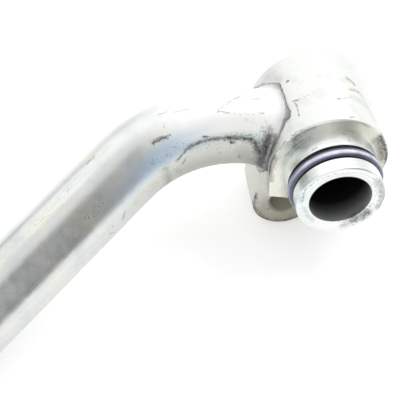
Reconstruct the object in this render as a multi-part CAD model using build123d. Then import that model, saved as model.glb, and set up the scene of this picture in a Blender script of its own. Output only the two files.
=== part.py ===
from build123d import *
from math import asin, cos, degrees, hypot, radians, sin, tan
import os

# One end of a rigid aluminium oil cooler line, lying on a table.
# The origin is the centre of the block's sealing face, on the axis of the spigot.
# The spigot points along -Y, the tube leaves the block to the left, along -X, and +Z is up.

# Oil passage in the block
BORE_D = 13.3
BORE_PAST_TUBE = 4.0
DRILL_POINT = 118.0
MOUTH_BEVEL_DEPTH = 0.42

# Spigot, from its nose to the sealing face
SPIGOT_LENGTH = 10.54
NOSE_D = 18.84
NOSE_RIM = 1.02
NOSE_BREAK = 0.2
FRONT_LAND = 3.1
GROOVE_WIDTH = 3.3
SHOULDER_D = 19.7

# Sealing ring in the spigot's groove: its section, and how far it stands out of the shoulder
RING_SECTION = 2.4
RING_SIDES = 16
RING_PROUD = 0.35
RING_CLEARANCE = 0.03

# Forged barrel that carries the spigot: the metal it leaves round the tube, and its rims
FACE_WALL = 3.0
BACK_WALL = 3.5
SIDE_WALL = 4.8
FACE_BREAK = 0.35
BACK_BREAK = 0.6

# Ear with the bolt hole: its centre, seen from the spigot's end, and its step below the face
EAR_OUT = 8.4
EAR_DOWN = 12.3
EAR_R = 7.1
EAR_STEP = 2.5
EAR_DEPTH = 14.5
EAR_DRAFT = 7.0
EAR_RIM_BREAK = 0.4
BOLT_HOLE_D = 6.6
BOLT_HOLE_BREAK = 0.4

# Squared corner of the sealing face, and the straight step that ends it above the ear
CORNER_INSET = 0.15
STEP_CLEAR_OF_SPIGOT = 0.9
STEP_SLOPE = 16.7

# Tube: a run out of the block, one bend, and a run down to the table
TUBE_D = 16.0
TUBE_WALL = 1.5
TUBE_RISE = 12.0
BEND_CORNER_FROM_AXIS = 32.6
BEND_R = 36.0
BEND_TURN = 36.9
TUBE_FALL = 15.0
TUBE_END_BREAK = 0.3

# Welded joint of tube and block
SOCKET_CLEARANCE = 0.05
SOCKET_FLOOR_WALL = 0.95
WELD_LEG = 2.3

# Sizes that follow from the ones above
bore_r = BORE_D / 2
nose_r = NOSE_D / 2
mouth_r = nose_r - NOSE_RIM
shoulder_r = SHOULDER_D / 2
hole_r = BOLT_HOLE_D / 2
tube_r = TUBE_D / 2
tube_bore_r = tube_r - TUBE_WALL
tube_behind_face = FACE_WALL + tube_r
barrel_depth = tube_behind_face + tube_r + BACK_WALL
barrel_r = tube_r + SIDE_WALL
socket_floor = bore_r + SOCKET_FLOOR_WALL
ring_r = RING_SECTION / 2
ring_centre_r = shoulder_r + RING_PROUD - ring_r
groove_r = ring_centre_r - ring_r - RING_CLEARANCE
groove_front = -SPIGOT_LENGTH + FRONT_LAND
groove_back = groove_front + GROOVE_WIDTH
ear_back = EAR_STEP + EAR_DEPTH
table_z = -EAR_DOWN - EAR_R

# Tube route: it starts on the socket's floor, turns at the corner and ends on the table
run_out = Vector(-cos(radians(TUBE_RISE)), 0, sin(radians(TUBE_RISE)))
run_down = Vector(
    -cos(radians(TUBE_FALL)) * cos(radians(BEND_TURN)),
    -cos(radians(TUBE_FALL)) * sin(radians(BEND_TURN)),
    -sin(radians(TUBE_FALL)),
)
tube_origin = Vector(0, tube_behind_face, 0)
tube_start = tube_origin + run_out * socket_floor
bend_corner = tube_origin + run_out * BEND_CORNER_FROM_AXIS
lowest_rim = tube_r * cos(radians(TUBE_FALL)) - TUBE_END_BREAK * sin(radians(TUBE_FALL))
end_height = table_z + lowest_rim
tube_end = bend_corner + run_down * ((bend_corner.Z - end_height) / sin(radians(TUBE_FALL)))


def face_plane(y):
    """Plane across the spigot's axis at depth y, with X to the right and Z up."""
    return Plane(origin=(0, y, 0), x_dir=(1, 0, 0), z_dir=(0, -1, 0))


def across_tube(distance):
    """Plane across the tube's first run, at a distance from the spigot's axis."""
    return Plane(origin=tube_origin + run_out * distance, x_dir=(0, 1, 0), z_dir=run_out)


def slab(sketch, y_front, y_back):
    """A flat outline made solid between two depths."""
    return extrude(face_plane(y_back) * sketch, amount=y_back - y_front)


def turned(outline):
    """A solid turned about the Y axis from pairs of radius and depth."""
    return revolve(make_face(Polyline(outline, close=True)), Axis.Y)


def spigot_and_barrel():
    """The parts of the block that are turned about the spigot's axis."""
    return turned([
        (0, -SPIGOT_LENGTH),
        (nose_r - NOSE_BREAK, -SPIGOT_LENGTH),
        (nose_r, -SPIGOT_LENGTH + NOSE_BREAK),
        (nose_r, groove_front),
        (groove_r, groove_front),
        (groove_r, groove_back),
        (shoulder_r, groove_back),
        (shoulder_r, 0),
        (barrel_r - FACE_BREAK, 0),
        (barrel_r, FACE_BREAK),
        (barrel_r, barrel_depth - BACK_BREAK),
        (barrel_r - BACK_BREAK, barrel_depth),
        (0, barrel_depth),
    ])


def ear():
    """The lobe that carries the bolt, joined to the barrel by two straight flanks."""
    lobe = Pos(-EAR_OUT, -EAR_DOWN) * Circle(EAR_R)
    outline = make_hull(Circle(barrel_r).edges() + lobe.edges())
    square_edged = slab(outline, EAR_STEP, ear_back)
    levels = square_edged.edges().group_by(Axis.Y)
    return chamfer(levels[0] + levels[-1], EAR_RIM_BREAK) - flank_draft()


def flank_draft():
    """What the forging's draft takes off the ear's left flank, more towards the back."""
    reach = hypot(EAR_OUT, EAR_DOWN)
    down_to_ear = degrees(asin(EAR_DOWN / reach))
    flank_lean = degrees(asin((barrel_r - EAR_R) / reach))
    across_flank = Pos(0, EAR_STEP, 0) * Rot(0, 90 - down_to_ear - flank_lean, 0)
    taken = Box(barrel_r, 4 * barrel_r, 4 * barrel_r, align=(Align.MAX, Align.CENTER, Align.CENTER))
    return across_flank * Pos(-barrel_r, 0, 0) * Rot(0, 0, -EAR_DRAFT) * taken


def square_corner():
    """The corner that squares off the sealing face beside the ear."""
    side = barrel_r - CORNER_INSET
    return slab(Rectangle(side, side, align=(Align.MAX, Align.MAX)), 0, EAR_STEP)


def step_cut():
    """What is cut away in front of the ear, up to the straight step across the face."""
    beyond = Rectangle(4 * barrel_r, 2 * barrel_r, align=(Align.CENTER, Align.MAX))
    beyond = Rot(0, 0, -STEP_SLOPE) * Pos(0, -shoulder_r - STEP_CLEAR_OF_SPIGOT) * beyond
    return slab(beyond, -EAR_STEP, EAR_STEP)


def oil_passage():
    """The drilling from the nose, which ends past the tube in the cone of the drill."""
    wall_end = tube_behind_face + BORE_PAST_TUBE
    return turned([
        (0, -SPIGOT_LENGTH),
        (mouth_r, -SPIGOT_LENGTH),
        (bore_r, -SPIGOT_LENGTH + MOUTH_BEVEL_DEPTH),
        (bore_r, wall_end),
        (0, wall_end + bore_r / tan(radians(DRILL_POINT / 2))),
    ])


def tube_socket():
    """The socket that takes the tube, and the way from its floor to the passage."""
    mouth = Circle(tube_r + SOCKET_CLEARANCE)
    socket = extrude(across_tube(socket_floor) * mouth, amount=2 * barrel_r)
    way_in = extrude(across_tube(0) * Circle(tube_bore_r), amount=socket_floor)
    return socket + way_in


def bolt_hole():
    """The clearance hole through the ear, with both mouths broken."""
    hole = turned([
        (0, EAR_STEP),
        (hole_r + BOLT_HOLE_BREAK, EAR_STEP),
        (hole_r, EAR_STEP + BOLT_HOLE_BREAK),
        (hole_r, ear_back - BOLT_HOLE_BREAK),
        (hole_r + BOLT_HOLE_BREAK, ear_back),
        (0, ear_back),
    ])
    return Pos(-EAR_OUT, 0, -EAR_DOWN) * hole


def forging():
    """The block before its passages are drilled."""
    return spigot_and_barrel() + square_corner() + ear() - step_cut()


def line_tube():
    """The bent tube, with its outer and inner edges broken at both ends."""
    route = FilletPolyline(tube_start, bend_corner, tube_end, radius=BEND_R)
    start = Plane(origin=tube_start, z_dir=run_out)
    tube = sweep(start * (Circle(tube_r) - Circle(tube_bore_r)), path=route)
    rims = tube.edges().filter_by(GeomType.CIRCLE).filter_by(
        lambda rim: min((rim.arc_center - end).length for end in (tube_start, tube_end)) < TUBE_WALL
    )
    return chamfer(rims, TUBE_END_BREAK)


def weld_bead(block):
    """The fillet weld round the tube, laid in its corner with the barrel."""
    long_barrel = slab(Circle(barrel_r), -barrel_r, barrel_depth + barrel_r)
    run = extrude(across_tube(0) * Circle(tube_r), amount=BEND_CORNER_FROM_AXIS)
    joined = long_barrel + run
    seam = joined.edges().filter_by(GeomType.BSPLINE)
    between_faces = slab(Circle(2 * barrel_r), 0, barrel_depth)
    return (chamfer(seam, WELD_LEG) - joined - block) & between_faces


def sealing_ring():
    """The rubber ring, laid round in the spigot's groove."""
    section = RegularPolygon(ring_r, RING_SIDES)
    across_ring = Plane(origin=(ring_centre_r, (groove_front + groove_back) / 2, 0))
    return revolve(across_ring * section, Axis.Y)


os.makedirs("parts", exist_ok=True)

forged_block = forging()
fitting_block = forged_block - oil_passage() - tube_socket() - bolt_hole()

export_step(fitting_block, "parts/fitting_block.step")
export_step(line_tube(), "parts/line_tube.step")
export_step(weld_bead(forged_block), "parts/weld_bead.step")
export_step(sealing_ring(), "parts/o_ring.step")
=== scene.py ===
# %% [markdown]
# # An oil cooler line
#
# The object is one end of a rigid oil line from an engine bay: an aluminium tube, bent once and
# welded into a forged end block. The block has a turned spigot with a rubber ring in its groove,
# a flat sealing face and an ear for one bolt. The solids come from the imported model. This lesson
# adds what solids can't show: skin, machining marks, weld metal, rubber, scuffs and dirt.
#
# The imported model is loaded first. It is in metres, the sealing face is at y = 0 on the spigot's
# axis, the spigot points along -Y, the tube leaves along -X, and the line lies on a table.

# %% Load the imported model
from math import cos, degrees, pi, radians, sin

import bmesh
import bpy
from mathutils import Matrix, Vector, noise


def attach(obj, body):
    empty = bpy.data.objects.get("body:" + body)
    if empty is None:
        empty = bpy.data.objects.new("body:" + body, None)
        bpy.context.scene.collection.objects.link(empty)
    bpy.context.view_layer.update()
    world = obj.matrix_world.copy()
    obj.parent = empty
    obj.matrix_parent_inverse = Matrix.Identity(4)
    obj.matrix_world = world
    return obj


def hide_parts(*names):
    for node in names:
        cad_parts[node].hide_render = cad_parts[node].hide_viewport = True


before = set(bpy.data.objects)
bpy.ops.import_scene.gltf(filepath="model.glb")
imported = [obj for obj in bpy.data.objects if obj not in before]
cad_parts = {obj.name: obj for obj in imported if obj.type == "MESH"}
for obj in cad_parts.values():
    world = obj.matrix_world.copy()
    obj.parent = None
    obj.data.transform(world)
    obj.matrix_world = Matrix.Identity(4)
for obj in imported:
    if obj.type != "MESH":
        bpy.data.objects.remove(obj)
scene = bpy.context.scene
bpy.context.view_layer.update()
MM = 0.001

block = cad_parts["fitting_block"]
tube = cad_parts["line_tube"]
print("loaded", ", ".join(sorted(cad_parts)))

# %% [markdown]
# ## The camera
#
# The photograph looks down on the line at about 47 degrees, from in front of the spigot and a
# little to its left. The circles of the bore, spigot and sealing face fix where the camera is.
# A camera looks along its own -Z, so its matrix takes three directions as columns: right, up and
# back. A long lens of 126 mm on a 36 mm sensor gives the mild perspective of the photograph.

# %% Set up the camera
CAMERA_PLACE = Vector((-61.51, -197.90, 211.29)) * MM
CAMERA_RIGHT = Vector((0.98562, -0.16896, 0.0))
CAMERA_UP = Vector((0.12408, 0.72379, 0.67877))
CAMERA_BACK = CAMERA_RIGHT.cross(CAMERA_UP)
SENSOR_WIDTH = 36.0
FOCAL_LENGTH = 126.0
NEAREST_SEEN = 0.01
FARTHEST_SEEN = 20.0

lens = bpy.data.cameras.new("camera")
lens.sensor_width = SENSOR_WIDTH
lens.lens = FOCAL_LENGTH
lens.clip_start = NEAREST_SEEN
lens.clip_end = FARTHEST_SEEN
camera = bpy.data.objects.new("camera", lens)
scene.collection.objects.link(camera)
aimed = Matrix((CAMERA_RIGHT, CAMERA_UP, CAMERA_BACK)).transposed()
camera.matrix_world = Matrix.Translation(CAMERA_PLACE) @ aimed.to_4x4()
scene.camera = camera
print("camera at", [round(c, 4) for c in CAMERA_PLACE])

# %% [markdown]
# ## Colours and nodes
#
# Colours are picked as hex values, the way a picture editor shows them, and one function turns
# them to the linear values that shaders need. A second function adds one node with its settings
# and links, so that a material reads as a list of what it is made of. Its inputs go by the name
# or number that Blender gives them: on a Map Range node 1 and 2 are where the range starts and
# ends, and on a Mix node 0 is the factor and 6 and 7 are the two colours.

# %% Colour and node helpers
def colour(hex_value):
    """An sRGB hex colour as linear RGBA."""
    channels = [int(hex_value[i:i + 2], 16) / 255 for i in (1, 3, 5)]
    linear = [c / 12.92 if c <= 0.04045 else ((c + 0.055) / 1.055) ** 2.4 for c in channels]
    return (*linear, 1.0)


def add_node(tree, kind, inputs=None, out=0, stops=None, **settings):
    """Adds a node with its settings, inputs and colour stops, and returns one of its outputs."""
    node = tree.nodes.new(kind)
    for name, value in settings.items():
        setattr(node, name, value)
    for place, value in (inputs or {}).items():
        if isinstance(value, bpy.types.NodeSocket):
            tree.links.new(value, node.inputs[place])
        else:
            node.inputs[place].default_value = value
    for number, (position, hex_value) in enumerate(stops or []):
        ramp = node.color_ramp.elements
        stop = ramp[number] if number < 2 else ramp.new(position)
        stop.position = position
        stop.color = colour(hex_value)
    return node.outputs[out] if node.outputs else None


def new_material(name):
    """An empty material, and its tree."""
    material = bpy.data.materials.new(name)
    material.use_nodes = True
    material.node_tree.nodes.clear()
    return material, material.node_tree


print("the mid grey #808080 is", round(colour("#808080")[0], 3), "in linear light")

# %% [markdown]
# ## The floor
#
# The ground in the photograph is plain white, with a faint shadow of the ear. A flat sheet of
# white paper would do, but where the light falls off it would turn grey. So to the camera and to
# the metal it also glows a little, which keeps it white and still lets the shadow show.

# %% A helper that makes an object
def make_object(name, bm, material):
    """An object at the origin, from a bmesh and a material."""
    mesh = bpy.data.meshes.new(name)
    bm.to_mesh(mesh)
    bm.free()
    mesh.materials.append(material)
    piece = bpy.data.objects.new(name, mesh)
    scene.collection.objects.link(piece)
    return piece


# %% Make the floor
TABLE_Z = -19.4 * MM
FLOOR_SIZE = 3.0
PAPER_WHITE = "#E8E8E8"
PAPER_GLOW = 0.40

# Matt white paper gives the eye a plain bright ground
paper, tree = new_material("white_paper")
rays = add_node(tree, "ShaderNodeLightPath").node.outputs
seen = rays["Is Camera Ray"]
for ray in ("Is Glossy Ray", "Is Transmission Ray"):
    seen = add_node(tree, "ShaderNodeMath", {0: seen, 1: rays[ray]}, operation="MAXIMUM")
glow = add_node(tree, "ShaderNodeMath", {0: seen, 1: PAPER_GLOW}, operation="MULTIPLY")
lit = add_node(tree, "ShaderNodeBsdfDiffuse", {"Color": colour(PAPER_WHITE)})
glowing = add_node(tree, "ShaderNodeEmission", {"Strength": glow})
both = add_node(tree, "ShaderNodeAddShader", {0: lit, 1: glowing})
add_node(tree, "ShaderNodeOutputMaterial", {"Surface": both})

bm = bmesh.new()
bmesh.ops.create_grid(bm, x_segments=1, y_segments=1, size=FLOOR_SIZE / 2)
bmesh.ops.translate(bm, vec=(0, 0, TABLE_Z), verts=bm.verts)
floor = make_object("floor", bm, paper)
print("floor at z =", TABLE_Z)

# %% [markdown]
# ## Room and lamps
#
# Bright metal is mostly a picture of the room round it, so the room matters more than the lamps.
# The sky is pale, with one darker side in front and to the right: the tube reflects it as its
# dark band. A low part behind is darker as well, so that the tube looks like metal from that side
# too. It is narrow, because the photograph's view reflects hardly any of it. A large soft lamp
# behind the object gives the top its brightness. A smaller one above, behind and to the right,
# draws the highlight along the rubber ring and throws the ear's faint shadow to the left.
#
# The darker parts are zones of the sky, and a finish often covers one zone of a piece too, such
# as all that lies in front of the sealing face. A zone is drawn by its limits. Each limit is a
# value, such as a coordinate, with the number where the zone begins and the number where it is
# full, and the limits multiply.

# %% A mask for a zone
def zone(tree, *limits):
    """How far inside all the limits this is: each is a value, where it begins and is full."""
    inside = 1.0
    for value, begins, full in limits:
        limit = add_node(tree, "ShaderNodeMapRange", {0: value, 1: begins, 2: full})
        inside = add_node(tree, "ShaderNodeMath", {0: inside, 1: limit}, operation="MULTIPLY")
    return inside


print("a zone is what all its limits let through")

# %% Light the room
SKY_BRIGHT = "#FFFFFF"
SKY_DARK = "#989898"
SKY_LOW_BEHIND = "#A8A8A8"
SKY_STRENGTH = 1.0
DARK_SIDE = radians(-40)
# Where the limits of the two zones begin and are full, on directions of length 1
DARK_ASIDE = (0.36, 0.18)
DARK_AHEAD = (0.0, 0.26)
LOW_HEIGHT = (0.45, 0.12)
LOW_AHEAD = (-0.89, -0.96)

world = bpy.data.worlds.new("room")
world.use_nodes = True
scene.world = world
tree = world.node_tree
tree.nodes.clear()
looking = add_node(tree, "ShaderNodeTexCoord", out="Generated")
height = add_node(tree, "ShaderNodeSeparateXYZ", {0: looking}, "Z")
ahead, aside = (add_node(tree, "ShaderNodeVectorMath", {0: looking, 1: way}, "Value",
                         operation="DOT_PRODUCT")
                for way in ((cos(DARK_SIDE), sin(DARK_SIDE), 0),
                            (-sin(DARK_SIDE), cos(DARK_SIDE), 0)))
aside = add_node(tree, "ShaderNodeMath", {0: aside}, operation="ABSOLUTE")
dark_side = zone(tree, (aside, *DARK_ASIDE), (ahead, *DARK_AHEAD))
low_behind = zone(tree, (height, *LOW_HEIGHT), (ahead, *LOW_AHEAD))
sky = colour(SKY_BRIGHT)
for part, shade in ((dark_side, SKY_DARK), (low_behind, SKY_LOW_BEHIND)):
    sky = add_node(tree, "ShaderNodeMix", {0: part, 6: sky, 7: colour(shade)}, 2,
                   data_type="RGBA")
room = add_node(tree, "ShaderNodeBackground", {"Color": sky, "Strength": SKY_STRENGTH})
add_node(tree, "ShaderNodeOutputWorld", {"Surface": room})
print("room lit by a pale sky with two darker parts")

# %% Hang the lamps
LAMPS_AIM = Vector((-25, 0, 0)) * MM
LAMPS = [
    # Name, place in mm, size in mm, watts
    ("lamp_behind", (-120, 500, 450), (600, 600), 0.45),
    ("lamp_above", (400, 180, 560), (420, 160), 1.1),
]

for name, place_mm, (wide, high), watts in LAMPS:
    lamp = bpy.data.lights.new(name, "AREA")
    lamp.shape = "RECTANGLE"
    lamp.size = wide * MM
    lamp.size_y = high * MM
    lamp.energy = watts
    holder = bpy.data.objects.new(name, lamp)
    scene.collection.objects.link(holder)
    holder.location = Vector(place_mm) * MM
    holder.rotation_euler = (LAMPS_AIM - holder.location).to_track_quat("-Z", "Y").to_euler()

scene.view_settings.view_transform = "Standard"
print("lamps:", len(LAMPS))

# %% [markdown]
# ## Marks that follow the photograph
#
# Scuffs, pits and dirt on the real line are single strokes, not an even pattern. Each one is a
# chain of points on the surface, a width and a strength, in millimetres. Its mask is the distance
# to that chain, with noise added so that it wanders, and more noise to break it up. Strokes could
# be painted in an image, but nodes keep them sharp and need no unwrapping. Noise scales are
# repeats a millimetre here, so a scale of 2 makes grains of half a millimetre.
# Some strokes are painted shade or a painted reflection instead, and a comment says so.

# %% Where a point is on a piece
def read_surface(tree):
    """The place in millimetres, its X, Y and Z, and those of the way the surface faces."""
    place = add_node(tree, "ShaderNodeTexCoord", out="Object")
    place = add_node(tree, "ShaderNodeVectorMath", {0: place, "Scale": 1 / MM}, operation="SCALE")
    normal = add_node(tree, "ShaderNodeNewGeometry", out="Normal")
    axes, facing = (add_node(tree, "ShaderNodeSeparateXYZ", {0: vector}).node.outputs
                    for vector in (place, normal))
    return place, axes, facing


print("places on the object are read in mm")

# %% How far a place is from a line
def distance_to_line(tree, place, start, end):
    """How far a place is from the line between two points."""
    along = end - start
    from_start = add_node(tree, "ShaderNodeVectorMath", {0: place, 1: start},
                          operation="SUBTRACT")
    share = add_node(tree, "ShaderNodeVectorMath",
                     {0: from_start, 1: along / along.length_squared}, "Value",
                     operation="DOT_PRODUCT")
    share = add_node(tree, "ShaderNodeClamp", {0: share})
    nearest = add_node(tree, "ShaderNodeVectorMath", {0: along, "Scale": share},
                       operation="SCALE")
    return add_node(tree, "ShaderNodeVectorMath", {0: from_start, 1: nearest}, "Value",
                    operation="DISTANCE")


print("a stroke is drawn by its distance from a line")

# %% A mask for a set of strokes
WANDER = 0.7            # Noise moves a stroke's line by up to half of this, in mm
WANDER_SCALE = 1.6      # It swings every 0.6 mm
EDGE_SCALE = 2.3        # The edge is ragged in steps of 0.4 mm
BREAK_SCALE = 1.3       # A stroke thins out every 0.8 mm
FULLEST_EDGE = 0.45     # The distance counts for this much where the edge bulges most
SOLID_CORE = 0.2        # The share of a stroke's width that is at full strength


def strokes_mask(tree, place, strokes, thinnest=0.6, raggedest=2.1, grain=(1.0, 1.0, 1.0)):
    """How strong the strokes are here: each is a chain of points, a width and a strength.

    The mask drops to thinnest of itself where it is most broken up, and its edge draws in by up
    to raggedest times. A number under 1 in grain makes both patterns longer that way.
    """
    at = add_node(tree, "ShaderNodeVectorMath", {0: place, 1: grain}, operation="MULTIPLY")
    wobble = add_node(tree, "ShaderNodeTexNoise",
                      {"Vector": at, "Scale": WANDER_SCALE, "Detail": 5.0}, "Color")
    wobble = add_node(tree, "ShaderNodeVectorMath", {0: wobble, 1: (0.5, 0.5, 0.5)},
                      operation="SUBTRACT")
    wobble = add_node(tree, "ShaderNodeVectorMath", {0: wobble, "Scale": WANDER},
                      operation="SCALE")
    moved = add_node(tree, "ShaderNodeVectorMath", {0: place, 1: wobble}, operation="ADD")
    ragged = add_node(tree, "ShaderNodeTexNoise",
                      {"Vector": at, "Scale": EDGE_SCALE, "Detail": 6.0, "Roughness": 0.7})
    ragged = add_node(tree, "ShaderNodeMapRange",
                      {0: ragged, 1: 0.35, 2: 0.65, 3: FULLEST_EDGE, 4: raggedest})
    total = 0.0
    for points, width, strength in strokes:
        for start, end in zip(points, points[1:]):
            gap = distance_to_line(tree, moved, Vector(start), Vector(end))
            gap = add_node(tree, "ShaderNodeMath", {0: gap, 1: ragged}, operation="MULTIPLY")
            mask = add_node(tree, "ShaderNodeMapRange",
                            {0: gap, 1: width, 2: width * SOLID_CORE, 4: strength})
            total = add_node(tree, "ShaderNodeMath", {0: total, 1: mask}, operation="MAXIMUM")
    broken = add_node(tree, "ShaderNodeTexNoise",
                      {"Vector": at, "Scale": BREAK_SCALE, "Detail": 5.0})
    broken = add_node(tree, "ShaderNodeMapRange", {0: broken, 1: 0.36, 2: 0.60, 3: thinnest})
    return add_node(tree, "ShaderNodeMath", {0: total, 1: broken}, operation="MULTIPLY")


print("strokes wander by up to", WANDER / 2, "mm")

# %% Soot that the weld left on both parts, and painted shade round the joint
# Soot hangs in soft streaks that run up and down the joint, so it is stretched along Z
SOOT_AND_SHADE_COLOUR = "#434147"
SOOT_AND_SHADE_LOOK = {"thinnest": 0.8, "raggedest": 1.4, "grain": (1.5, 1.5, 0.35)}
SOOT_AND_SHADE = [
    # These five are soot on the front of the joint, with painted shade in its crevice
    ([(-12.0, 4.6, 7.8), (-12.4, 3.7, 6.7)], 1.5, 0.55),
    ([(-12.4, 3.7, 6.7), (-13.1, 3.0, 4.8), (-13.5, 2.7, 3.0)], 1.9, 1.0),
    ([(-13.5, 2.7, 3.0), (-13.9, 2.9, 1.0), (-13.9, 3.6, -1.4)], 1.9, 0.95),
    ([(-11.1, 3.2, 7.2), (-11.6, 2.4, 5.7), (-12.3, 2.0, 3.8), (-12.9, 2.0, 1.2),
      (-13.1, 2.0, -1.0)], 1.1, 0.8),
    ([(-11.7, 0.2, 3.9), (-12.5, 0.3, 0.3), (-12.5, 0.3, -2.6)], 0.9, 0.6),
    ([(-12.7, 6.2, 9.1), (-12.4, 4.6, 7.8)], 0.4, 0.25),
    ([(-13.6, 5.0, 8.3), (-13.1, 3.9, 6.9)], 0.5, 0.3),
    ([(-15.2, 3.1, 4.4), (-15.0, 3.1, 1.4), (-14.6, 3.6, -1.2)], 1.3, 0.42),
    ([(-17.8, 3.3, 4.4), (-16.2, 3.1, 3.0), (-15.4, 3.4, 0.5)], 2.2, 0.2),
    ([(-13.7, 4.6, -2.0), (-13.8, 4.4, -4.6)], 0.9, 0.4),
    # The last two are painted shade on top of the weld, below its edge
    ([(-12.0, 20.5, 5.2), (-10.6, 18.3, 7.8), (-9.0, 16.3, 9.7), (-8.4, 14.2, 10.1)], 0.5, 0.6),
    ([(-8.1, 12.9, 10.2), (-7.8, 9.1, 10.2), (-7.7, 6.7, 10.5), (-8.3, 5.1, 10.1)], 0.5, 0.55),
]
print("strokes of soot:", len(SOOT_AND_SHADE))

# %% [markdown]
# ## The block's finishes
#
# The block is a forging. Its skin is blasted aluminium: pale, matt and faintly mottled. Where a
# cutter has been, on the spigot, the sealing face and the ear's front, the metal is smoother and
# carries fine turning marks. One material covers the whole block, and masks made from the place
# and the way a surface faces choose between the finishes, because the block is one piece.
#
# - The turning marks are rings about the spigot's axis, so they use the radius and the depth.
# - The oil passage darkens to black a little way in: old oil, with painted shade deepening into
#   the bore. The bolt hole's rim is painted darker: painted shade under the sealing face's step.
# - The sealing face is stained by the gasket and heat, with a dark patch on its right. A dark
#   grey band on its left, beside the spigot's shoulder, is painted shade.
# - Painted shade makes the skin greyer where it faces down, and the ear darker towards the floor.

# %% Find where each finish is
SHOULDER_R = 9.85
BORE_R = 6.65
DRILLED_TO = 19.5
BOLT_HOLE = (-8.4, 0.0, -12.3)
BOLT_HOLE_R = 3.3

# Blasting gives the eye a pale skin without shine, and turning gives it a fine silky sheen
block_finish, tree = new_material("forged_and_turned_aluminium")
place, axes, facing = read_surface(tree)
flat = add_node(tree, "ShaderNodeVectorMath", {0: place, 1: (1.0, 0.0, 1.0)},
                operation="MULTIPLY")
radius = add_node(tree, "ShaderNodeVectorMath", {0: flat}, "Value", operation="LENGTH")
from_hole = add_node(tree, "ShaderNodeVectorMath", {0: flat, 1: BOLT_HOLE}, "Value",
                     operation="DISTANCE")

# Limits that several finishes share
forward = (facing["Y"], -0.7, -0.95)
before_face = (axes["Y"], 0.4, 0.1)
past_step = (axes["Y"], 1.5, 2.3)
turned = zone(tree, before_face)
sealing = zone(tree, forward, before_face, (radius, SHOULDER_R - 0.05, SHOULDER_R + 0.05))
ear_front = zone(tree, forward, past_step)
in_hole = zone(tree, past_step, (from_hole, BOLT_HOLE_R + 0.6, BOLT_HOLE_R + 0.35))
in_bore = zone(tree, (radius, BORE_R + 0.12, BORE_R + 0.03),
               (axes["Y"], DRILLED_TO + 0.5, DRILLED_TO))
print("block finishes: skin, turned, sealing face, ear front, bolt hole, bore")

# %% Colour the skin and the turned metal
MOTTLE_SCALE = 0.28     # Patches of 3 to 4 mm, from handling
SPECK_SCALE = 1.9       # Specks of half a millimetre. Real grit is finer and wouldn't show
RINGS_A_MM = 4.5        # Rings 0.22 mm apart. A lathe's real feed of 0.1 mm wouldn't show
RINGS_CHANGE = (0.12, 0.0, 0.12)        # How quickly they change on the way round
SPECKS = "#A9A79C"
UNDERSIDE_SHADE = "#BFC0B2"
COOL_TINT = "#DDEFEE"

mottle = add_node(tree, "ShaderNodeTexNoise",
                  {"Vector": place, "Scale": MOTTLE_SCALE, "Detail": 5.0})
skin = add_node(tree, "ShaderNodeValToRGB", {"Fac": mottle}, stops=[
    (0.30, "#E3E2DC"), (0.44, "#ECEDEA"), (0.58, "#E9EDE9"), (0.72, "#F2F1E6")])
specks = add_node(tree, "ShaderNodeTexNoise",
                  {"Vector": place, "Scale": SPECK_SCALE, "Detail": 6.0, "Roughness": 0.7})
specks = add_node(tree, "ShaderNodeMapRange", {0: specks, 1: 0.66, 2: 0.74, 4: 0.8})
# Painted shade: the skin is greyer where it faces down
under = add_node(tree, "ShaderNodeMapRange", {0: facing["Z"], 1: 0.5, 2: -0.25})
for mask, tint in ((specks, SPECKS), (under, UNDERSIDE_SHADE)):
    skin = add_node(tree, "ShaderNodeMix", {0: mask, 6: skin, 7: colour(tint)}, 2,
                    data_type="RGBA")

rings_at = add_node(tree, "ShaderNodeCombineXYZ", {0: radius, 1: axes["Y"]})
rings_at = add_node(tree, "ShaderNodeVectorMath", {0: rings_at, 1: (RINGS_A_MM, RINGS_A_MM, 0)},
                    operation="MULTIPLY")
drift = add_node(tree, "ShaderNodeVectorMath", {0: place, 1: RINGS_CHANGE},
                 operation="MULTIPLY")
rings_at = add_node(tree, "ShaderNodeVectorMath", {0: rings_at, 1: drift}, operation="ADD")
rings = add_node(tree, "ShaderNodeTexNoise",
                 {"Vector": rings_at, "Scale": 1.0, "Detail": 4.0, "Roughness": 0.65})
cut = add_node(tree, "ShaderNodeValToRGB", {"Fac": rings}, stops=[
    (0.30, "#D8DCDC"), (0.62, "#F2F4F2")])
# The left side of the spigot has a faint blue-green tint
cool = add_node(tree, "ShaderNodeMapRange", {0: axes["X"], 1: -2.0, 2: -8.0, 4: 0.6})
cool = add_node(tree, "ShaderNodeMath", {0: cool, 1: mottle}, operation="MULTIPLY")
cut = add_node(tree, "ShaderNodeMix", {0: cool, 6: cut, 7: colour(COOL_TINT)}, 2,
               data_type="RGBA")
print("skin and turned metal coloured")

# %% Stain the sealing face, the ear and the holes
STREAK_SCALE = 1.2      # Streaks of a little under a millimetre
STREAKS = "#E0D3C2"
# The bolt hole's rim is painted darker: painted shade under the sealing face's step
HOLE_RIM_SHADE, HOLE_WALL = "#A29F92", "#C9C7BB"
RIM_TO_WALL = (2.9, 3.1)                # Depths in the bolt hole, in mm
OIL_AND_SHADE_BEGINS, OIL_AND_SHADE_BLACK = -10.3, 1.7      # Depths in the oil passage, in mm

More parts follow.
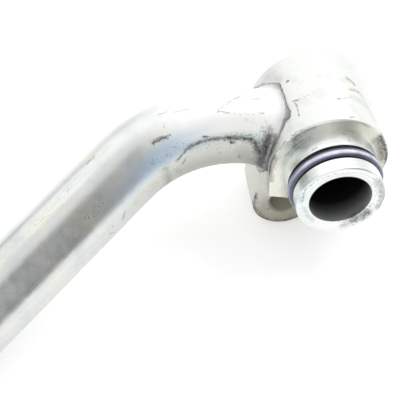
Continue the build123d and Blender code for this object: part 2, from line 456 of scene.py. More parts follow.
# The stains change from left to right across the face, along edges that wander by 3 mm. The
# dark grey stop near the left is painted shade, beside the spigot's shoulder.
across = add_node(tree, "ShaderNodeMath", {0: mottle, 1: 3.0, 2: axes["X"]},
                  operation="MULTIPLY_ADD")
across = add_node(tree, "ShaderNodeMapRange", {0: across, 1: -12.0, 2: 12.0})
stained_and_shaded = add_node(tree, "ShaderNodeValToRGB", {"Fac": across}, stops=[
    (0.0, "#F8F8ED"), (0.13, "#EAEBE2"), (0.24, "#86898E"), (0.36, "#C2C4C2"),
    (0.52, "#E6E7DE"), (0.72, "#E2E3D8"), (0.86, "#E3E5D9"), (1.0, "#C6C7BE")])
streaks = add_node(tree, "ShaderNodeTexNoise",
                   {"Vector": place, "Scale": STREAK_SCALE, "Detail": 4.0})
streaks = add_node(tree, "ShaderNodeMapRange", {0: streaks, 1: 0.45, 2: 0.7, 4: 0.4})
stained_and_shaded = add_node(tree, "ShaderNodeMix", {0: streaks, 6: stained_and_shaded, 7: colour(STREAKS)}, 2,
                   data_type="RGBA")

# The ear is painted darker downwards, towards the floor: painted shade, along edges that wander
# more
down = add_node(tree, "ShaderNodeMath", {0: mottle, 1: -9.0, 2: axes["Z"]},
                operation="MULTIPLY_ADD")
down = add_node(tree, "ShaderNodeMapRange", {0: down, 1: -8.0, 2: -24.0})
ear_skin_shaded = add_node(tree, "ShaderNodeValToRGB", {"Fac": down}, stops=[
    (0.0, "#EDEEE4"), (0.35, "#D6D7CF"), (0.6, "#B8B6AB"), (1.0, "#9C9483")])
past_rim = zone(tree, (axes["Y"], *RIM_TO_WALL))
hole_skin = add_node(tree, "ShaderNodeMix",
                     {0: past_rim, 6: colour(HOLE_RIM_SHADE), 7: colour(HOLE_WALL)}, 2,
                     data_type="RGBA")
# Painted shade: the oil passage darkens to black with depth, over old oil
depth_in = add_node(tree, "ShaderNodeMapRange", {0: axes["Y"], 1: OIL_AND_SHADE_BEGINS, 2: OIL_AND_SHADE_BLACK})
oil_and_shade = add_node(tree, "ShaderNodeValToRGB", {"Fac": depth_in}, stops=[
    (0.0, "#C4C8C6"), (0.12, "#9C9F9D"), (0.26, "#6E6E6C"), (0.46, "#242424"),
    (1.0, "#030303")])
print("sealing face, ear and holes stained")

# %% Mark the block
# Dark strokes on the block: dirt and scuffs, and some painted shade, noted below
DIRT_AND_SHADE_ON_BLOCK = "#3F3D3A"
BLOCK_MARKS_AND_SHADE = [
    ([(-6.2, 8.8, 11.2), (-5.3, 8.5, 11.7)], 0.38, 0.8),
    ([(-6.2, 8.8, 11.2), (-5.9, 6.9, 11.3), (-6.1, 4.2, 11.2)], 0.26, 0.75),
    ([(-4.2, 8.7, 12.1), (-3.1, 8.8, 12.4)], 0.2, 0.3),
    ([(-6.4, 14.9, 11.1), (-6.1, 14.9, 11.3)], 0.4, 0.8),
    ([(2.6, 6.5, 12.5), (2.9, 6.3, 12.5)], 0.45, 0.95),
    ([(2.8, 6.5, 12.5), (4.4, 7.0, 12.0), (5.9, 7.7, 11.3)], 0.22, 0.35),
    ([(3.9, 1.1, 12.2), (4.8, 1.3, 11.9)], 0.3, 0.75),
    ([(6.4, 13.9, 11.1), (7.3, 13.2, 10.5), (7.7, 12.6, 10.2)], 0.7, 0.6),
    ([(6.2, 10.1, 11.2), (7.2, 10.6, 10.6), (8.1, 10.4, 9.9)], 0.65, 0.5),
    # The next two are painted shade on the barrel's right side
    ([(6.6, 7.6, 11.0), (8.6, 7.2, 9.5), (9.1, 6.4, 9.0)], 1.8, 0.16),
    ([(8.3, 10.5, 9.8), (9.4, 6.9, 8.7), (9.9, 3.4, 8.1)], 1.6, 0.14),
    # Painted shade on the barrel's left side, behind the weld
    ([(-10.7, 19.5, 7.5), (-9.4, 19.8, 8.7), (-7.6, 17.0, 10.3)], 1.9, 0.18),
    ([(2.1, -0.9, 9.6), (2.3, -1.1, 9.6)], 0.3, 0.7),
    ([(2.7, -2.9, 9.4), (3.0, -3.2, 9.4)], 0.28, 0.6),
    ([(-4.9, -3.4, 8.5), (-4.1, -3.3, 9.0)], 0.4, 0.6),
    ([(-8.2, 0.2, 9.6), (-6.2, 0.1, 10.8), (-3.8, 0.0, 11.7)], 0.75, 0.45),
    ([(-10.2, 0.1, 7.2), (-8.2, 0.2, 9.6), (-6.3, 0.3, 11.0)], 0.25, 0.8),
    ([(-9.8, 0.2, 8.0), (-10.6, 0.2, 6.8), (-11.7, 0.2, 4.9)], 0.32, 0.75),
    ([(-11.7, 0.2, 4.9), (-12.6, 0.3, 2.0), (-12.7, 0.3, -0.6)], 0.42, 0.95),
    ([(-12.7, 0.3, -0.6), (-12.7, 0.2, -4.2)], 0.3, 0.6),
    # Painted shade in the corner between the sealing face and the shoulder
    ([(-9.4, 0.0, 4.5), (-8.4, 0.0, 6.0), (-6.6, 0.0, 7.8), (-4.6, 0.0, 9.0)], 0.3, 0.5),
    ([(10.4, 0.0, 6.6), (11.5, 0.0, 4.0), (12.2, 0.0, 1.6), (12.6, 0.2, -1.5)], 1.1, 1.0),
    ([(9.8, 0.0, 5.6), (10.9, 0.0, 3.4), (11.5, 0.0, 0.2)], 1.9, 0.7),
    ([(8.2, 0.1, 9.4), (6.0, 0.1, 11.1)], 0.2, 0.5),
    ([(-8.5, -9.2, 4.0), (-8.1, -10.6, 3.8), (-8.1, -10.5, 1.4)], 0.3, 0.75),
    ([(-7.6, -10.6, 4.9), (-8.1, -10.6, 3.7)], 0.25, 0.7),
    ([(-8.9, -10.5, 2.4), (-8.8, -8.4, 3.4), (-7.7, -8.2, 5.4)], 2.2, 0.3),
    ([(-7.6, -10.5, 4.9), (-5.3, -10.5, 7.2), (-2.1, -10.5, 8.3), (2.3, -10.5, 8.0)], 0.17, 0.7),
    ([(2.3, -10.5, 8.0), (4.2, -10.5, 7.2), (6.9, -10.5, 5.0)], 0.17, 0.55),
    ([(7.4, -10.5, 4.4), (8.5, -10.5, 2.2), (9.0, -10.5, -1.2), (8.4, -10.5, -3.4)], 1.9, 0.5),
    ([(2.9, -10.4, -6.6), (4.4, -10.3, -5.9), (6.0, -10.3, -4.9)], 2.0, 0.9),
    ([(0.9, -10.4, -7.9), (2.2, -10.4, -7.6), (3.2, -10.4, -7.0)], 1.2, 0.4),
    ([(-7.7, -10.4, -0.9), (-6.7, -10.4, -3.6), (-5.6, -10.4, -5.2)], 1.0, 0.25),
    ([(-12.2, 2.5, -14.3), (-12.0, 2.5, -14.4)], 0.35, 0.8),
    # The last two are painted shade along the ear's left and lower edge, down to the floor
    ([(-14.9, 2.7, -9.3), (-15.3, 2.8, -12.6), (-14.4, 2.8, -16.2)], 0.9, 0.8),
    ([(-14.4, 2.8, -16.2), (-12.0, 2.8, -18.5), (-8.4, 2.8, -19.4), (-4.6, 2.8, -18.3)], 1.3, 1.0),
]
print("block marks:", len(BLOCK_MARKS_AND_SHADE))

# %% Lay the block's colours over each other
marks_and_painted_light = strokes_mask(tree, place, BLOCK_MARKS_AND_SHADE)
soot_and_shade = strokes_mask(tree, place, SOOT_AND_SHADE, **SOOT_AND_SHADE_LOOK)
layers = [
    (turned, cut), (sealing, stained_and_shaded), (ear_front, ear_skin_shaded), (in_hole, hole_skin),
    (in_bore, oil_and_shade), (marks_and_painted_light, colour(DIRT_AND_SHADE_ON_BLOCK)), (soot_and_shade, colour(SOOT_AND_SHADE_COLOUR)),
]
block_colour = skin
for mask, layer in layers:
    block_colour = add_node(tree, "ShaderNodeMix", {0: mask, 6: block_colour, 7: layer}, 2,
                            data_type="RGBA")
print("layers of colour on the block:", len(layers) + 1)

# %% Give the block its grain and gloss
GRAIN_SCALE = 4.0       # Dimples of 0.25 mm. Real blasting is finer and wouldn't show
DENT_SCALE = 0.55       # Shallow dents about 2 mm apart, from forging and handling
DIMPLE_DEPTH = 0.12 * MM
BUMP_STRENGTH = 0.35
GRAIN_SHARE, RINGS_SHARE = 0.35, 0.45
SKIN_ROUGHNESS, TURNED_ROUGHNESS, OILY_ROUGHNESS = 0.52, 0.30, 0.45
SKIN_METALLIC, TURNED_METALLIC, OILY_METALLIC = 0.6, 1.0, 0.35

grain = add_node(tree, "ShaderNodeTexNoise",
                 {"Vector": place, "Scale": GRAIN_SCALE, "Detail": 4.0, "Roughness": 0.6})
dents = add_node(tree, "ShaderNodeTexNoise",
                 {"Vector": place, "Scale": DENT_SCALE, "Detail": 2.0})
on_skin = add_node(tree, "ShaderNodeMath", {0: grain, 1: GRAIN_SHARE, 2: dents},
                   operation="MULTIPLY_ADD")
on_turned = add_node(tree, "ShaderNodeMath", {0: rings, 1: RINGS_SHARE, 2: dents},
                     operation="MULTIPLY_ADD")
relief = add_node(tree, "ShaderNodeMix", {0: turned, 2: on_skin, 3: on_turned})
bump = add_node(tree, "ShaderNodeBump",
                {"Height": relief, "Strength": BUMP_STRENGTH, "Distance": DIMPLE_DEPTH})
gloss, bare = (add_node(tree, "ShaderNodeMix", {0: turned, 2: skin_value, 3: turned_value})
               for skin_value, turned_value in ((SKIN_ROUGHNESS, TURNED_ROUGHNESS),
                                                (SKIN_METALLIC, TURNED_METALLIC)))
gloss = add_node(tree, "ShaderNodeMix", {0: in_bore, 2: gloss, 3: OILY_ROUGHNESS})
bare = add_node(tree, "ShaderNodeMix", {0: in_bore, 2: bare, 3: OILY_METALLIC})
surface = add_node(tree, "ShaderNodeBsdfPrincipled", {
    "Base Color": block_colour, "Roughness": gloss, "Normal": bump, "Metallic": bare})
add_node(tree, "ShaderNodeOutputMaterial", {"Surface": surface})
block.data.materials.clear()
block.data.materials.append(block_finish)
print("block finished")

# %% [markdown]
# ## The finish of tube and weld
#
# The tube is drawn aluminium: smooth along its length, so the room shows in it almost as in a
# mirror, with faint lines that the drawing left. Near the block, where it was held and welded, it
# is duller and whiter on top. A dark line along its side there is a painted reflection, carrying
# on the dark band, and the grey below that is painted shade. Between the bright part and the block
# a faint blue is painted where the tube faces forward and up: a painted reflection. The weld runs
# out onto the tube without a line, so both take their finish from one function. The weld's mesh
# carries
# the amount of soot and painted shade: soot darkens the bead's ragged edge, and painted shade a
# belt in its hollow.

# %% Mark the tube
# Dark strokes on the tube: dirt and scuffs, and some painted reflection and shade, noted below
DIRT_SHADE_AND_REFLECTION_ON_TUBE = "#3F403E"
TUBE_MARKS_SHADE_AND_REFLECTION = [
    ([(-37.0, 1.6, 11.1), (-35.4, 2.4, 11.3), (-34.2, 2.6, 11.3)], 0.75, 0.95),
    ([(-34.6, 2.6, 11.4), (-33.2, 3.0, 11.4)], 0.5, 0.8),
    ([(-34.3, 4.4, 12.0), (-34.0, 5.6, 12.3)], 0.3, 0.3),
    ([(-52.2, -0.5, 8.6), (-50.6, 0.4, 8.9), (-49.0, 1.3, 9.3)], 0.5, 0.55),
    # The next four are a painted reflection: a dark line along the side, carrying on the dark band
    ([(-32.3, 0.0, 6.9), (-31.1, 0.7, 7.6), (-30.3, 1.3, 8.2), (-29.4, 1.7, 8.5)], 0.6, 0.7),
    ([(-29.4, 1.7, 8.5), (-27.1, 2.6, 8.75), (-24.5, 3.2, 8.6), (-21.8, 3.5, 8.1)], 0.8, 0.85),
    ([(-21.8, 3.5, 8.1), (-19.0, 3.7, 7.45), (-16.4, 3.7, 6.7)], 1.0, 0.95),
    ([(-16.4, 3.7, 6.7), (-15.2, 3.2, 5.5), (-14.5, 3.1, 3.3)], 1.4, 0.9),
    ([(-20.5, 3.2, 6.8), (-19.9, 3.2, 6.7)], 0.7, 0.95),
    ([(-26.3, 3.2, 9.4), (-25.4, 3.3, 9.3)], 0.45, 0.9),
    ([(-23.2, 2.4, 4.9), (-23.0, 2.5, 4.9)], 0.4, 0.6),
    ([(-18.8, 3.1, 2.8), (-18.6, 3.1, 2.1)], 0.65, 0.6),
    ([(-31.2, 0.2, 5.4), (-30.6, 0.5, 6.4), (-30.0, 0.7, 6.9)], 0.4, 0.55),
    ([(-22.6, 7.6, 12.0), (-20.0, 7.1, 11.5), (-16.1, 6.9, 10.8), (-12.8, 7.4, 10.1)], 0.3, 0.6),
    ([(-22.6, 7.6, 12.0), (-19.6, 9.9, 12.2), (-16.6, 11.8, 11.7)], 0.32, 0.55),
    ([(-14.9, 10.6, 11.2), (-12.9, 10.9, 10.9)], 0.38, 0.5),
    ([(-17.7, 6.3, 10.5), (-15.9, 5.8, 9.8), (-14.2, 5.0, 8.8), (-12.9, 4.9, 8.2)], 0.28, 0.4),
    ([(-35.2, 7.8, 12.7), (-33.0, 8.3, 12.85)], 0.38, 0.34),
    ([(-34.7, 6.9, 12.6), (-34.5, 7.7, 12.7)], 0.3, 0.3),
    ([(-31.5, 7.9, 12.9), (-28.2, 8.4, 12.9)], 0.38, 0.3),
    # The next two are painted shade below that dark line
    ([(-35.0, -1.4, 6.2), (-34.6, -1.4, 4.2), (-34.1, -0.8, 1.4)], 1.7, 0.3),
    ([(-32.4, -0.3, 4.6), (-31.6, 0.3, 2.6)], 1.2, 0.16),
    ([(-44.4, -8.3, 2.4), (-44.8, -8.7, 1.0)], 0.55, 0.4),
    ([(-47.9, -10.9, -0.6), (-46.9, -10.1, -1.2)], 0.5, 0.35),
]
print("tube marks:", len(TUBE_MARKS_SHADE_AND_REFLECTION))

# %% Smear and pit the tube
SMEAR_COLOUR = "#C2C4A4"
PIT_COLOUR = "#5C5B50"
TUBE_SMEARS = [
    ([(-70.0, -17.0, 2.6), (-65.8, -13.5, 3.8), (-61.5, -10.2, 5.3),
      (-57.0, -6.4, 6.8)], 2.4, 0.25),
    ([(-58.5, -7.6, 6.3), (-54.0, -3.2, 7.6)], 1.6, 0.25),
    ([(-49.2, 0.2, 9.2), (-45.5, 2.6, 10.3)], 1.2, 0.3),
    ([(-42.4, -6.7, 3.2), (-39.9, -4.7, 4.0), (-37.6, -3.0, 4.6)], 1.7, 0.4),
]
# The chains here are clusters of pits, not lines
TUBE_PITS = [
    ([(-53.0, -10.6, 5.4), (-51.0, -10.6, 5.1), (-49.2, -9.2, 5.7)], 1.6, 0.9),
    ([(-50.0, -12.2, 0.6), (-47.0, -10.2, 0.9)], 1.5, 0.5),
    ([(-43.6, -7.6, 2.2), (-41.0, -5.6, 3.1)], 1.5, 0.6),
    ([(-38.9, -4.0, 3.2), (-36.0, -2.2, 4.0)], 1.4, 0.5),
    ([(-28.5, 2.0, 7.6), (-24.0, 2.9, 6.6), (-19.5, 3.3, 5.6)], 1.4, 0.6),
    ([(-62.5, -11.0, 5.0), (-57.0, -6.9, 6.8), (-54.5, -4.0, 7.4)], 1.6, 0.5),
    ([(-38.0, -1.5, 8.4), (-33.5, 0.6, 9.0), (-30.5, 2.0, 9.6)], 1.6, 0.6),
]
print("smears:", len(TUBE_SMEARS), "and clusters of pits:", len(TUBE_PITS))

# %% The colour of clean and heated line metal
TINT_SCALE = 0.16       # Patches of about 6 mm
STRAIGHT_RUN = Vector((-0.7724, -0.5800, -0.2588))
DRAWN_ALONG = STRAIGHT_RUN.to_track_quat("X", "Z").to_euler()
# The length and widths of a drawn line in mm. Real ones are finer and wouldn't show
DRAWN_LINE = (22.0, 0.7, 0.7)
DRAWN_LINES = "#B2B7B8"
LINES_STRENGTH = 0.22
# The pale blue below is a painted reflection, on the side of the bend that faces up
BLUE_REFLECTION_TINT = "#CBDCEC"
# Places along X, in mm, where the metal turns from one finish to the next
BEND_TO_STRAIGHT = (-44.0, -52.0)
NEAR_BLOCK = (-40.0, -30.0)
BLUE_BEGINS, BLUE_ENDS = (-48.0, -38.0), (-23.0, -34.0)


def clean_metal(tree, place, axes, facing):
    """The colour without dirt, with painted shade and reflection, and the drawn lines' mask."""
    along = add_node(tree, "ShaderNodeMapping",
                     {"Vector": place, "Rotation": DRAWN_ALONG, "Scale": DRAWN_LINE},
                     vector_type="TEXTURE")
    lines = add_node(tree, "ShaderNodeTexNoise",
                     {"Vector": along, "Scale": 1.0, "Detail": 5.0, "Roughness": 0.65})
    lines = zone(tree, (lines, 0.46, 0.68), (axes["X"], *BEND_TO_STRAIGHT))
    faint = add_node(tree, "ShaderNodeMath", {0: lines, 1: LINES_STRENGTH},
                     operation="MULTIPLY")

    tint = add_node(tree, "ShaderNodeTexNoise",
                    {"Vector": place, "Scale": TINT_SCALE, "Detail": 4.0})
    bright = add_node(tree, "ShaderNodeValToRGB", {"Fac": tint}, stops=[
        (0.32, "#D0D3D3"), (0.50, "#D8DBDA"), (0.70, "#E0DFD5")])
    upward = add_node(tree, "ShaderNodeMapRange", {0: facing["Z"], 1: -1.0, 2: 1.0})
    # Near the block the colour follows the way the surface faces: the grey below is painted shade
    held_and_shaded = add_node(tree, "ShaderNodeValToRGB", {"Fac": upward}, stops=[
        (0.0, "#ACADA5"), (0.50, "#C4C5BE"), (0.66, "#D0D1CA"), (0.71, "#CCD6D2"),
        (0.76, "#E4ECE9"), (0.80, "#FAFBF9"), (1.0, "#FAFBF9")])
    near_block = zone(tree, (axes["X"], *NEAR_BLOCK))
    # A painted blue reflection, only on the side that faces forward and leans upward
    painted_blue_reflection = zone(tree, (axes["X"], *BLUE_BEGINS), (axes["X"], *BLUE_ENDS),
                  (facing["Z"], 0.86, 0.70), (facing["Z"], 0.25, 0.45),
                  (facing["Y"], 0.0, -0.4))
    metal = bright
    for mask, layer in ((faint, colour(DRAWN_LINES)), (near_block, held_and_shaded),
                        (painted_blue_reflection, colour(BLUE_REFLECTION_TINT))):
        metal = add_node(tree, "ShaderNodeMix", {0: mask, 6: metal, 7: layer}, 2,
                         data_type="RGBA")
    return metal, lines


print("the line's metal turns dull", -NEAR_BLOCK[0], "mm from the spigot's axis")

# %% Dirt on the line
# Each piece gives its grit a scale, for specks of 0.4 to 0.6 mm. Finer ones wouldn't show
GRIT_COLOUR = "#918E83"
PIT_SCALE = 2.9         # Pits of a third of a millimetre


def dirty_metal(tree, place, metal, grit_scale):
    """The line's colour with grit, marks, smears, pits and soot over it."""
    grit = add_node(tree, "ShaderNodeTexNoise",
                    {"Vector": place, "Scale": grit_scale, "Detail": 6.0, "Roughness": 0.75})
    grit = add_node(tree, "ShaderNodeMapRange", {0: grit, 1: 0.64, 2: 0.76, 4: 0.75})
    marks_and_painted_light = strokes_mask(tree, place, TUBE_MARKS_SHADE_AND_REFLECTION)
    smears = strokes_mask(tree, place, TUBE_SMEARS, thinnest=0.3)
    pits = strokes_mask(tree, place, TUBE_PITS, thinnest=1.0)
    pitted = add_node(tree, "ShaderNodeTexNoise",
                      {"Vector": place, "Scale": PIT_SCALE, "Detail": 3.0})
    pitted = add_node(tree, "ShaderNodeMapRange", {0: pitted, 1: 0.58, 2: 0.66})
    pits = add_node(tree, "ShaderNodeMath", {0: pits, 1: pitted}, operation="MULTIPLY")
    soot_and_shade = strokes_mask(tree, place, SOOT_AND_SHADE, **SOOT_AND_SHADE_LOOK)
    # The weld's attribute holds soot on its edge and painted shade in its hollow
    weld_soot_and_shade = add_node(tree, "ShaderNodeAttribute", out="Fac", attribute_name="soot_and_shade")
    soot_and_shade = add_node(tree, "ShaderNodeMath", {0: soot_and_shade, 1: weld_soot_and_shade}, operation="MAXIMUM")
    for mask, dirt in ((grit, GRIT_COLOUR), (marks_and_painted_light, DIRT_SHADE_AND_REFLECTION_ON_TUBE), (smears, SMEAR_COLOUR),
                       (pits, PIT_COLOUR), (soot_and_shade, SOOT_AND_SHADE_COLOUR)):
        metal = add_node(tree, "ShaderNodeMix", {0: mask, 6: metal, 7: colour(dirt)}, 2,
                         data_type="RGBA")
    return metal


print("the line carries grit, marks, smears, pits and soot")

# %% A finish for drawn and welded aluminium
SMOOTHEST = 0.20
GETS_DULLER = (-54.0, -36.0)
WEAR_SCALE = 0.5        # Duller and brighter patches of 2 mm
WEAR_ROUGHNESS, LINES_ROUGHNESS = 0.10, 0.06
WAVE_SCALE = 0.3        # Waves about 3 mm long, from drawing and bending
WAVE_DEPTH = 0.4 * MM
WAVE_STRENGTH = 0.2
TOP_FACES_UP = (0.40, 0.62)
BARE_METALLIC, WHITE_METALLIC = 1.0, 0.15   # Near the block the top is white with oxide


def line_metal(name, dullest, grit_scale):
    """Aluminium of the line: bright far from the block, dull and grimy where it was welded."""
    material, tree = new_material(name)
    place, axes, facing = read_surface(tree)
    metal, lines = clean_metal(tree, place, axes, facing)
    metal = dirty_metal(tree, place, metal, grit_scale)

    towards_block = zone(tree, (axes["X"], *GETS_DULLER))
    gloss = add_node(tree, "ShaderNodeMix", {0: towards_block, 2: SMOOTHEST, 3: dullest})
    wear = add_node(tree, "ShaderNodeTexNoise",
                    {"Vector": place, "Scale": WEAR_SCALE, "Detail": 5.0})
    for pattern, rougher in ((wear, WEAR_ROUGHNESS), (lines, LINES_ROUGHNESS)):
        gloss = add_node(tree, "ShaderNodeMath", {0: pattern, 1: rougher, 2: gloss},
                         operation="MULTIPLY_ADD")
    waves = add_node(tree, "ShaderNodeTexNoise",
                     {"Vector": place, "Scale": WAVE_SCALE, "Detail": 1.0})
    bump = add_node(tree, "ShaderNodeBump",
                    {"Height": waves, "Strength": WAVE_STRENGTH, "Distance": WAVE_DEPTH})
    white = zone(tree, (axes["X"], *NEAR_BLOCK), (facing["Z"], *TOP_FACES_UP))
    bare = add_node(tree, "ShaderNodeMix", {0: white, 2: BARE_METALLIC, 3: WHITE_METALLIC})
    surface = add_node(tree, "ShaderNodeBsdfPrincipled", {
        "Base Color": metal, "Roughness": gloss, "Normal": bump, "Metallic": bare})
    add_node(tree, "ShaderNodeOutputMaterial", {"Surface": surface})
    return material


# Drawn tube gives the eye a soft mirror that stretches the room along it
tube.data.materials.clear()
tube.data.materials.append(line_metal("drawn_aluminium", dullest=0.36, grit_scale=2.4))
print("tube finished")

# %% [markdown]
# ## The rubber ring
#
# The seal is a moulded ring of dark blue nitrile rubber with a round section. A circle spun about
# the spigot's axis makes it. The imported model has it as a coarse ring of flats, so this smooth
# one replaces it. A film of oil over the dark rubber is what shines, so the gloss is a coat. A
# pale band along the ring's crown, strongest on top, is a painted highlight, drawn from the way
# that the surface faces.

# %% Finish the rubber
# The bloom below is a painted highlight: these set its patches, its lean and its edge
HIGHLIGHT_PATCH_SCALE = 0.4       # Bloom comes in patches of 2 to 3 mm
HIGHLIGHT_LEANS = 0.35      # The bloom's middle leans this much to the front
HIGHLIGHT_EDGE = (0.62, 0.08)
RUBBER_ROUGHNESS = 0.4
OIL_ROUGHNESS, OIL_IOR = 0.12, 1.55

# Moulded rubber under oil gives the eye a deep blue-black with a wet shine, and a painted
# highlight along its crown
rubber, tree = new_material("nitrile_rubber")
place, _, facing = read_surface(tree)
# Painted highlight: a pale band along the crown, strongest on top
crown_highlight = add_node(tree, "ShaderNodeMath", {0: facing["Y"], 1: HIGHLIGHT_LEANS})
crown_highlight = add_node(tree, "ShaderNodeMath", {0: crown_highlight}, operation="ABSOLUTE")
crown_highlight = add_node(tree, "ShaderNodeMapRange",
                 {0: crown_highlight, 1: HIGHLIGHT_EDGE[0], 2: HIGHLIGHT_EDGE[1]},
                 interpolation_type="SMOOTHSTEP")
highlight_patches = add_node(tree, "ShaderNodeTexNoise",
                   {"Vector": place, "Scale": HIGHLIGHT_PATCH_SCALE, "Detail": 4.0})
highlight_patches = add_node(tree, "ShaderNodeMapRange", {0: highlight_patches, 1: 0.3, 2: 0.7, 3: 0.55})
highlight_on_top = add_node(tree, "ShaderNodeMapRange", {0: facing["Z"], 1: 0.1, 2: 0.8, 3: 0.5})
for share in (highlight_patches, highlight_on_top):
    crown_highlight = add_node(tree, "ShaderNodeMath", {0: crown_highlight, 1: share}, operation="MULTIPLY")
rubber_and_highlight = add_node(tree, "ShaderNodeValToRGB", {"Fac": crown_highlight}, stops=[
    (0.0, "#141624"), (0.34, "#5A628C"), (1.0, "#F4F7FF")])
surface = add_node(tree, "ShaderNodeBsdfPrincipled", {
    "Base Color": rubber_and_highlight, "Roughness": RUBBER_ROUGHNESS,
    "Coat Weight": 1.0, "Coat IOR": OIL_IOR, "Coat Roughness": OIL_ROUGHNESS})
add_node(tree, "ShaderNodeOutputMaterial", {"Surface": surface})
print("rubber finished")

# %% Make the rubber ring
RING_CENTRE_R = 9.0 * MM
RING_SECTION_R = 1.2 * MM
GROOVE_MIDDLE_Y = -5.79 * MM
SECTION_SIDES, RING_STEPS = 32, 128

bm = bmesh.new()
section = bmesh.ops.create_circle(bm, segments=SECTION_SIDES, radius=RING_SECTION_R)
bmesh.ops.translate(bm, vec=(RING_CENTRE_R, GROOVE_MIDDLE_Y, 0), verts=section["verts"])
bmesh.ops.spin(bm, geom=bm.verts[:] + bm.edges[:], cent=(0, 0, 0), axis=(0, 1, 0),
               angle=2 * pi, steps=RING_STEPS, use_merge=True, use_duplicate=False)
bmesh.ops.remove_doubles(bm, verts=bm.verts, dist=1e-7)
bmesh.ops.recalc_face_normals(bm, faces=bm.faces)
for face in bm.faces:
    face.smooth = True
ring = make_object("rubber_ring", bm, rubber)
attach(ring, "root")
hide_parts("o_ring")
print("rubber ring:", len(ring.data.polygons), "faces")

# %% [markdown]
# ## The weld
#
# The tube is welded all the way round. The bead is a hollow fillet in the corner of tube and
# block: it meets the block at a ragged edge and runs out along the tube. Its edge on the block
# follows the photograph, where that can be seen. A flat grid is wrapped round the tube: one way
# of the grid runs round the joint, and the other way runs round the bead's section. Rays sent
# back along the tube find the block's surface, so the bead sits on it all the way round.

# %% Measure the corner between tube and block
TUBE_R = 8.0
TUBE_BEHIND_FACE = 11.0
TUBE_RISE = radians(12.0)
OUT = Vector((-cos(TUBE_RISE), 0, sin(TUBE_RISE)))
BACK = Vector((0, 1, 0))
UP = Vector((sin(TUBE_RISE), 0, cos(TUBE_RISE)))
JOINT = Vector((0, TUBE_BEHIND_FACE, 0))
RAYS_START = 30.0

bpy.context.view_layer.update()


def beside_tube(turn, reach, along):
    """A point at an angle round the tube, a distance from its axis and a distance along it."""
    return JOINT + OUT * along + (BACK * cos(turn) + UP * sin(turn)) * reach


def block_surface(turn, reach):
    """How far along the tube the block's surface is, at that angle and distance."""
    start = beside_tube(turn, reach, RAYS_START) * MM
    _, place_hit, _, _ = block.ray_cast(start, -OUT)
    return (place_hit / MM - JOINT).dot(OUT)


print("block surface above the tube at", round(block_surface(radians(90), 8.4), 2), "mm")

# %% Follow the weld's edge round the tube
# The angle round the tube in degrees, and how far the edge is from the tube there, in mm
WELD_EDGE = [
    (0, 2.3), (7, 2.4), (25, 1.5), (42, 1.1), (54, 1.35), (61, 1.4), (70, 0.85), (83, 0.5),
    (93, 0.4), (103, 0.5), (112, 1.1), (118, 1.7), (125, 2.1), (130, 1.5), (138, 1.65),
    (146, 1.6), (155, 1.35), (169, 0.9), (185, 1.3), (205, 1.7), (225, 1.5), (245, 1.8),
    (265, 1.5), (285, 1.7), (305, 1.4), (325, 1.9), (345, 2.0), (360, 2.3),
]


def edge_reach(turn):
    """How far the bead's edge is from the tube, read off between the measured places."""
    angle = degrees(turn) % 360
    for (a, wide_a), (b, wide_b) in zip(WELD_EDGE, WELD_EDGE[1:]):
        if a <= angle <= b:
            share = (angle - a) / (b - a)
            share = share * share * (3 - 2 * share)
            return wide_a + (wide_b - wide_a) * share
    return WELD_EDGE[0][1]


print("the edge is widest at", max(wide for _, wide in WELD_EDGE), "mm")

# %% Shape the bead's section
CLIMB = 3.6             # How far the bead runs out along the tube, in mm
SKIRT = 0.16            # A thin rim round it, flat on the block
FULLNESS = 0.16         # 1 would make its face a flat bevel, and 0 the hollowest
RIM_ENDS, FACE_ENDS, TUBE_SIDE_ENDS = 0.08, 0.70, 0.82     # Shares of the way round it
CLEAR_OF_TUBE = 0.15    # A ray nearer to the tube would go down its socket
CORNER_OFF_TUBE, FACE_OFF_TUBE = 0.25, 0.015
RIM_LIFT, RIM_THICK = 0.02, 0.05
IN_BLOCK, IN_TUBE = 0.04, 0.03      # How deep its hidden sides sink into the metal
RIPPLES, RIPPLE_HEIGHT = 34, 0.05
# How far noise moves its edge, its climb and its face, and how quickly it changes
UNEVEN_LEG, UNEVEN_CLIMB, UNEVEN_FACE = 0.16, 0.6, 0.5
LEG_NOISE, CLIMB_NOISE, FACE_NOISE = 6, 2, 5


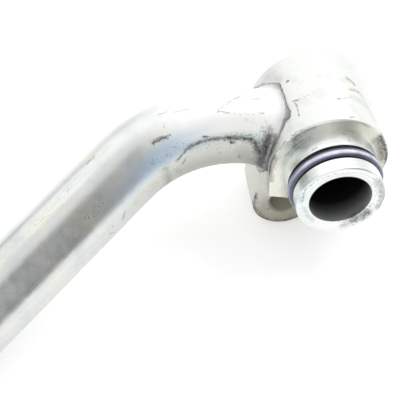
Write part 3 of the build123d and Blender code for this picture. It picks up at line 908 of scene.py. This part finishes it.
def bead_point(turn, share):
    """A point of the bead: share runs over its face to the tube, and back under it."""
    round_the_tube = Vector((cos(turn), sin(turn), 0.3))
    leg = edge_reach(turn) + UNEVEN_LEG * noise.noise(round_the_tube * LEG_NOISE)
    climb = CLIMB + UNEVEN_CLIMB * noise.noise(round_the_tube * CLIMB_NOISE)
    corner = block_surface(turn, TUBE_R + CORNER_OFF_TUBE)
    if share < RIM_ENDS:
        t = share / RIM_ENDS
        reach = TUBE_R + leg + SKIRT * (1 - t)
        off_block = RIM_LIFT + RIM_THICK * t
        return beside_tube(turn, reach, block_surface(turn, reach) + off_block)
    if share < FACE_ENDS:
        t = (share - RIM_ENDS) / (FACE_ENDS - RIM_ENDS)
        reach = TUBE_R + leg * (1 - t) ** 2 + FACE_OFF_TUBE
        along_corner = corner + climb * (t * t + 2 * t * (1 - t) * FULLNESS)
        on_block = block_surface(turn, max(reach, TUBE_R + CLEAR_OF_TUBE))
        on_block += RIM_LIFT + RIM_THICK
        swell = RIPPLE_HEIGHT * sin(RIPPLES * turn)
        swell += UNEVEN_FACE * noise.noise(round_the_tube * FACE_NOISE + UP * t)
        swell *= (1 - t) ** 2 * t
        return beside_tube(turn, reach + swell, max(along_corner, on_block) + swell)
    if share < TUBE_SIDE_ENDS:
        t = (share - FACE_ENDS) / (TUBE_SIDE_ENDS - FACE_ENDS)
        return beside_tube(turn, TUBE_R - IN_TUBE, corner + climb * (1 - t))
    t = (share - TUBE_SIDE_ENDS) / (1 - TUBE_SIDE_ENDS)
    reach = TUBE_R + CLEAR_OF_TUBE + (leg + SKIRT - CLEAR_OF_TUBE) * t
    off_block = RIM_LIFT * t - IN_BLOCK * (1 - t)
    return beside_tube(turn, reach, block_surface(turn, reach) + off_block)


print("the bead runs about", CLIMB, "mm out along the tube")

# %% Wrap a grid into the bead
ROUND, ACROSS = 220, 24
SOOTY_RIM = 0.15        # Soot fades over this share of the way round the section
# A belt of painted shade in the bead's hollow, past the rim
SHADE_MIDDLE, SHADE_REACH, SHADE_STRENGTH = 0.22, 0.3, 0.3     # And a greyer belt past the rim

bm = bmesh.new()
soot_and_shade_layer = bm.verts.layers.float.new("soot_and_shade")
bmesh.ops.create_grid(bm, x_segments=ROUND, y_segments=ACROSS, size=0.5)
for vert in bm.verts:
    turn = (vert.co.x + 0.5) * 2 * pi
    share = min(max(vert.co.y + 0.5, 0.0), 1.0)
    on_rim = max(0.0, 1 - share / SOOTY_RIM)
    in_shaded_belt = max(0.0, 1 - abs(share - SHADE_MIDDLE) / SHADE_REACH)
    vert[soot_and_shade_layer] = on_rim + SHADE_STRENGTH * in_shaded_belt
    vert.co = bead_point(turn, share % 1.0) * MM
bmesh.ops.remove_doubles(bm, verts=bm.verts, dist=1e-6)
bmesh.ops.recalc_face_normals(bm, faces=bm.faces)
for face in bm.faces:
    face.smooth = True
# Weld metal gives the eye a duller grey than the tube, with coarser specks and a sooty edge
weld_finish = line_metal("welded_aluminium", dullest=0.40, grit_scale=1.8)
bead = make_object("weld_fillet", bm, weld_finish)
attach(bead, "root")
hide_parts("weld_bead")
print("weld:", len(bead.data.polygons), "faces")
